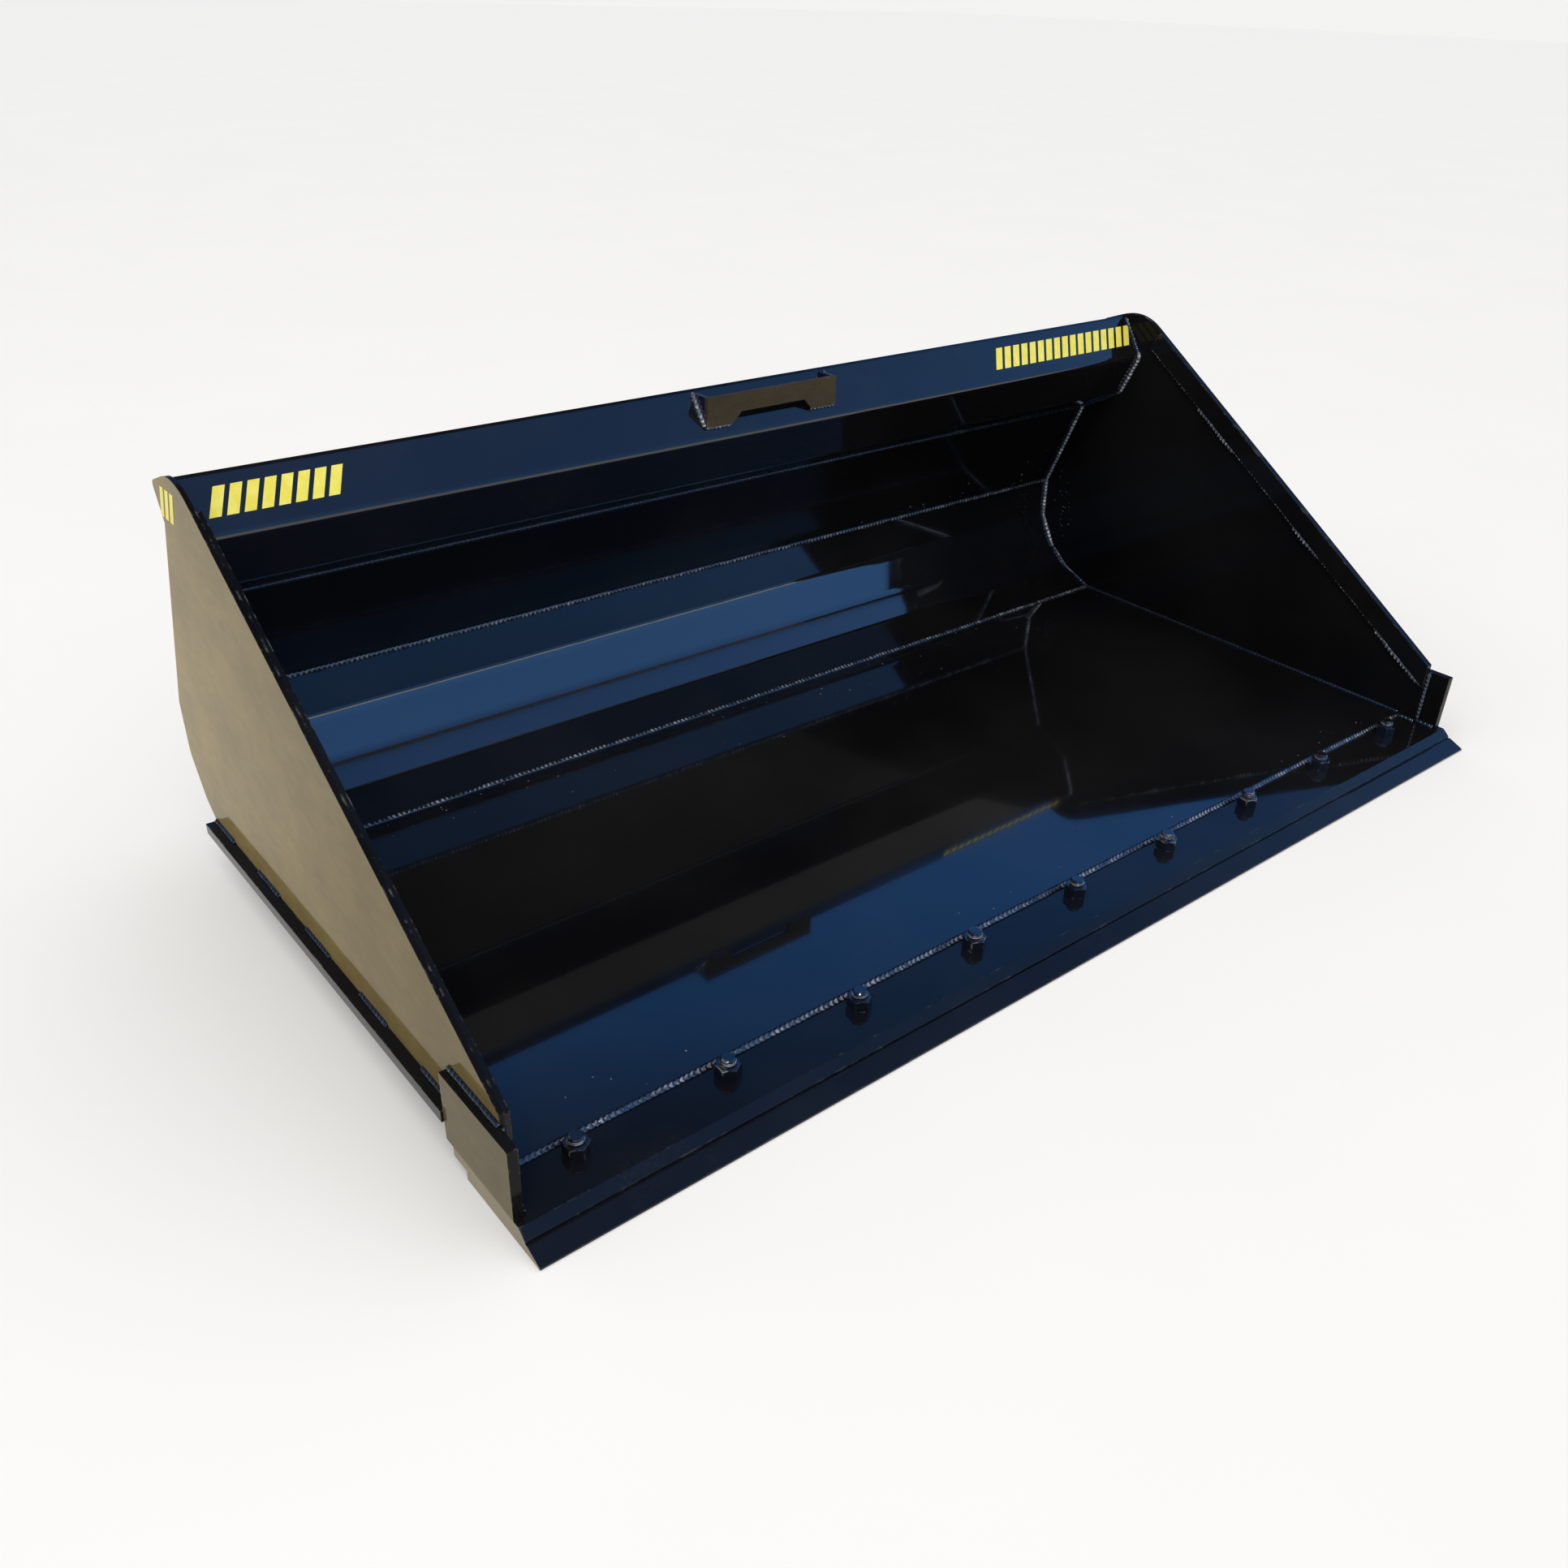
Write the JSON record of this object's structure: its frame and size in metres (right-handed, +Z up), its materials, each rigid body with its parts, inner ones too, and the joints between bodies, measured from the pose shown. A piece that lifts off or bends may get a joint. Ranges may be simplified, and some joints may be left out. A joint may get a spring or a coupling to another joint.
{
  "type": "skid steer bucket",
  "caption": "Wide, low loader bucket of bent steel plate with sloping side plates, a bolted cutting edge along its open front and a hook and slotted flange behind for a coupler.",
  "frame": {"origin": "middle of the width and of the depth, on the ground under the level floor", "axes": "+X across the bucket, to the right as seen from the open front; -Y out of the open front; +Z up"},
  "size_m": [1.8352, 1.1064, 0.5935],
  "materials": {
    "body_paint": "glossy black paint over welded steel plate",
    "edge_paint": "glossy black paint over flat steel bar",
    "fastener_paint": "glossy black paint over steel fasteners"
  },
  "bodies": {
    "root": {"floor_sheet": "body_paint", "heel_plate": "body_paint", "back_sheet": "body_paint", "top_channel": "body_paint", "hook_flange": "body_paint", "bolt_on_edge": "edge_paint", "base_edge": "edge_paint", "guard_plate": "body_paint", "mount_plate": "body_paint", "latch_flange": "body_paint", "side_plate_left": "body_paint", "edge_bar_left": "body_paint", "side_cutter_left": "edge_paint", "rub_bar_left": "body_paint", "guard_gusset_left": "body_paint", "mount_gusset_left": "body_paint", "side_plate_right": "body_paint", "edge_bar_right": "body_paint", "side_cutter_right": "edge_paint", "rub_bar_right": "body_paint", "guard_gusset_right": "body_paint", "mount_gusset_right": "body_paint", "mount_rib_1": "body_paint", "mount_rib_2": "body_paint", "mount_rib_3": "body_paint", "wear_bar_1": "body_paint", "wear_bar_2": "body_paint", "wear_bar_3": "body_paint", "wear_bar_4": "body_paint", "plow_bolts": "fastener_paint", "hex_nuts": "fastener_paint"}
  },
  "joints": []
}
